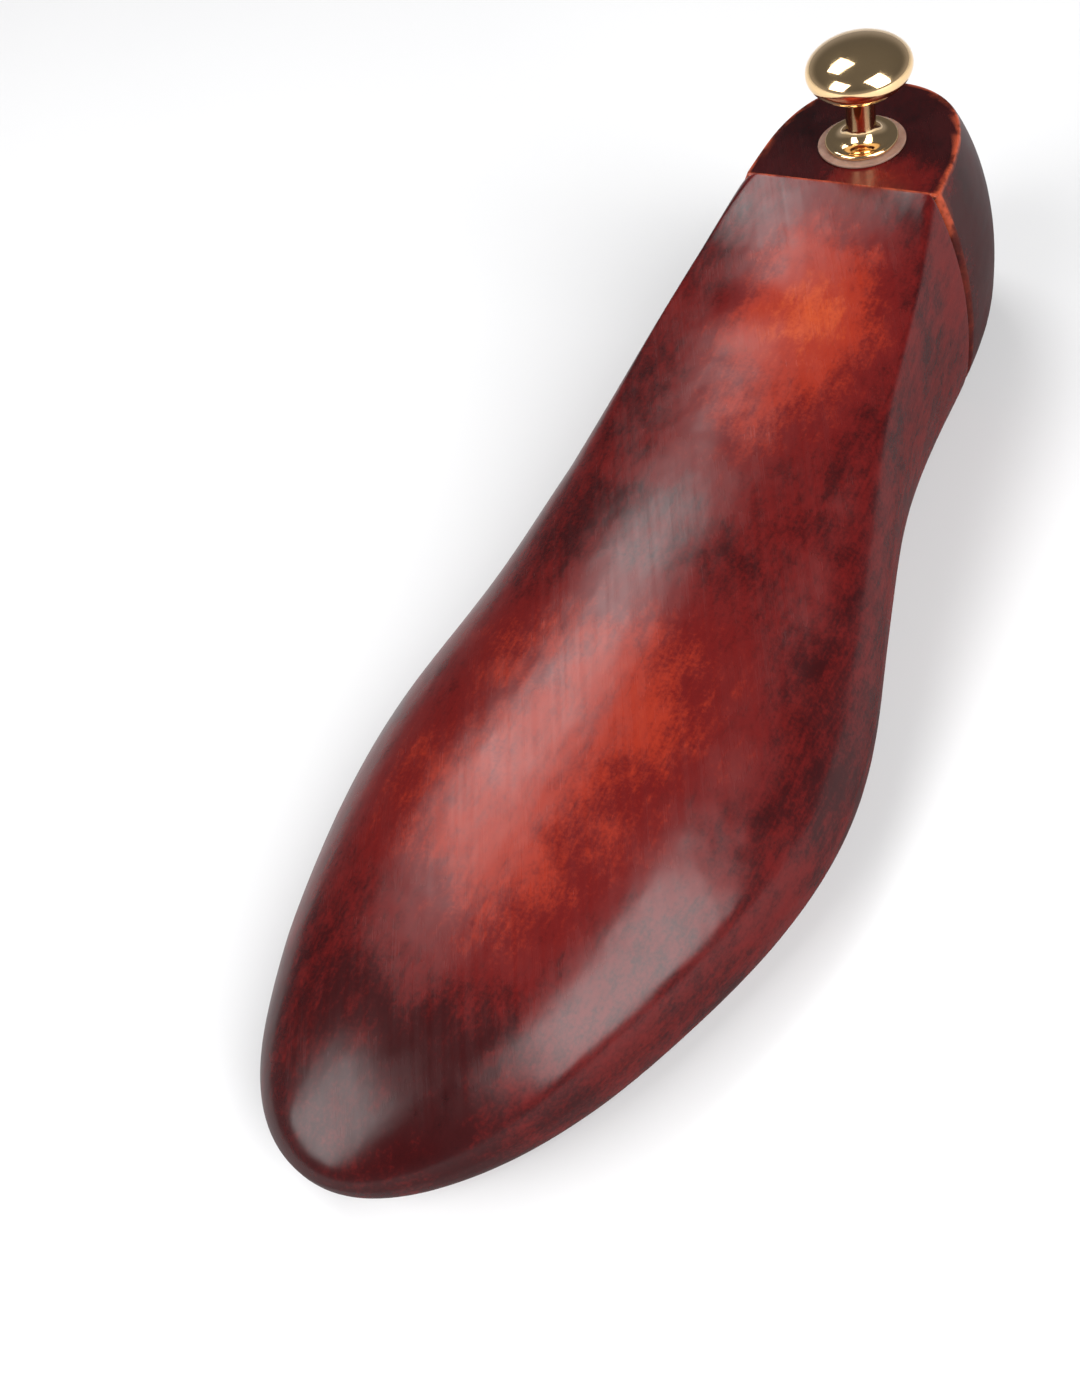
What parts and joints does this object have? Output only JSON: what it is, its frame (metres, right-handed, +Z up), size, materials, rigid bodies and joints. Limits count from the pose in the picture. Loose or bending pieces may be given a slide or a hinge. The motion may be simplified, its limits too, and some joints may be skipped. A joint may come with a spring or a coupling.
{
  "type": "shoe tree",
  "caption": "Sprung two-part lasted shoe tree: hand-stained full-instep forepart, heel block with flat top and turned brass knob, joined by telescoping spring tubes.",
  "frame": {"origin": "on the resting plane, on the flat bottom of the heel block, straight under the axis of the knob", "axes": "+X towards the toe, +Y to the outer side of the left foot, +Z up"},
  "size_m": [0.2841, 0.0966, 0.0824],
  "materials": {
    "stained_wood": "hand-stained burgundy to orange-red, polished",
    "dark_stained_wood": "hand-stained dark burgundy, polished",
    "polished_brass": "polished",
    "pale_leather": "natural, undyed",
    "nickel_steel": "nickel plated",
    "bright_steel": "drawn bright",
    "spring_steel": "oiled",
    "nylon": "natural"
  },
  "bodies": {
    "forepart": {"forepart_block": "stained_wood", "sleeve_tube_left": "nickel_steel", "sleeve_tube_right": "nickel_steel", "mouth_ferrule_left": "nickel_steel", "mouth_ferrule_right": "nickel_steel", "guide_bush_left": "nylon", "guide_bush_right": "nylon", "end_plug_left": "nylon", "end_plug_right": "nylon", "spring_left": "spring_steel", "spring_right": "spring_steel"},
    "heel": {"heel_block": "dark_stained_wood", "plunger_rod_left": "bright_steel", "plunger_rod_right": "bright_steel", "plunger_head_left": "bright_steel", "plunger_head_right": "bright_steel", "rod_collar_left": "nickel_steel", "rod_collar_right": "nickel_steel", "cross_pin_left": "bright_steel", "cross_pin_right": "bright_steel", "knob": "polished_brass", "knob_washer": "pale_leather", "knob_stud": "bright_steel", "knob_insert": "polished_brass"}
  },
  "joints": [
    {"name": "heel_slide", "type": "slide", "parent": "forepart", "child": "heel", "axis": [-1, 0, 0], "range_m": [0, 0.02], "stiffness_N_per_m": 600, "springref_m": 0.02, "deforming": ["spring_left", "spring_right"]}
  ]
}
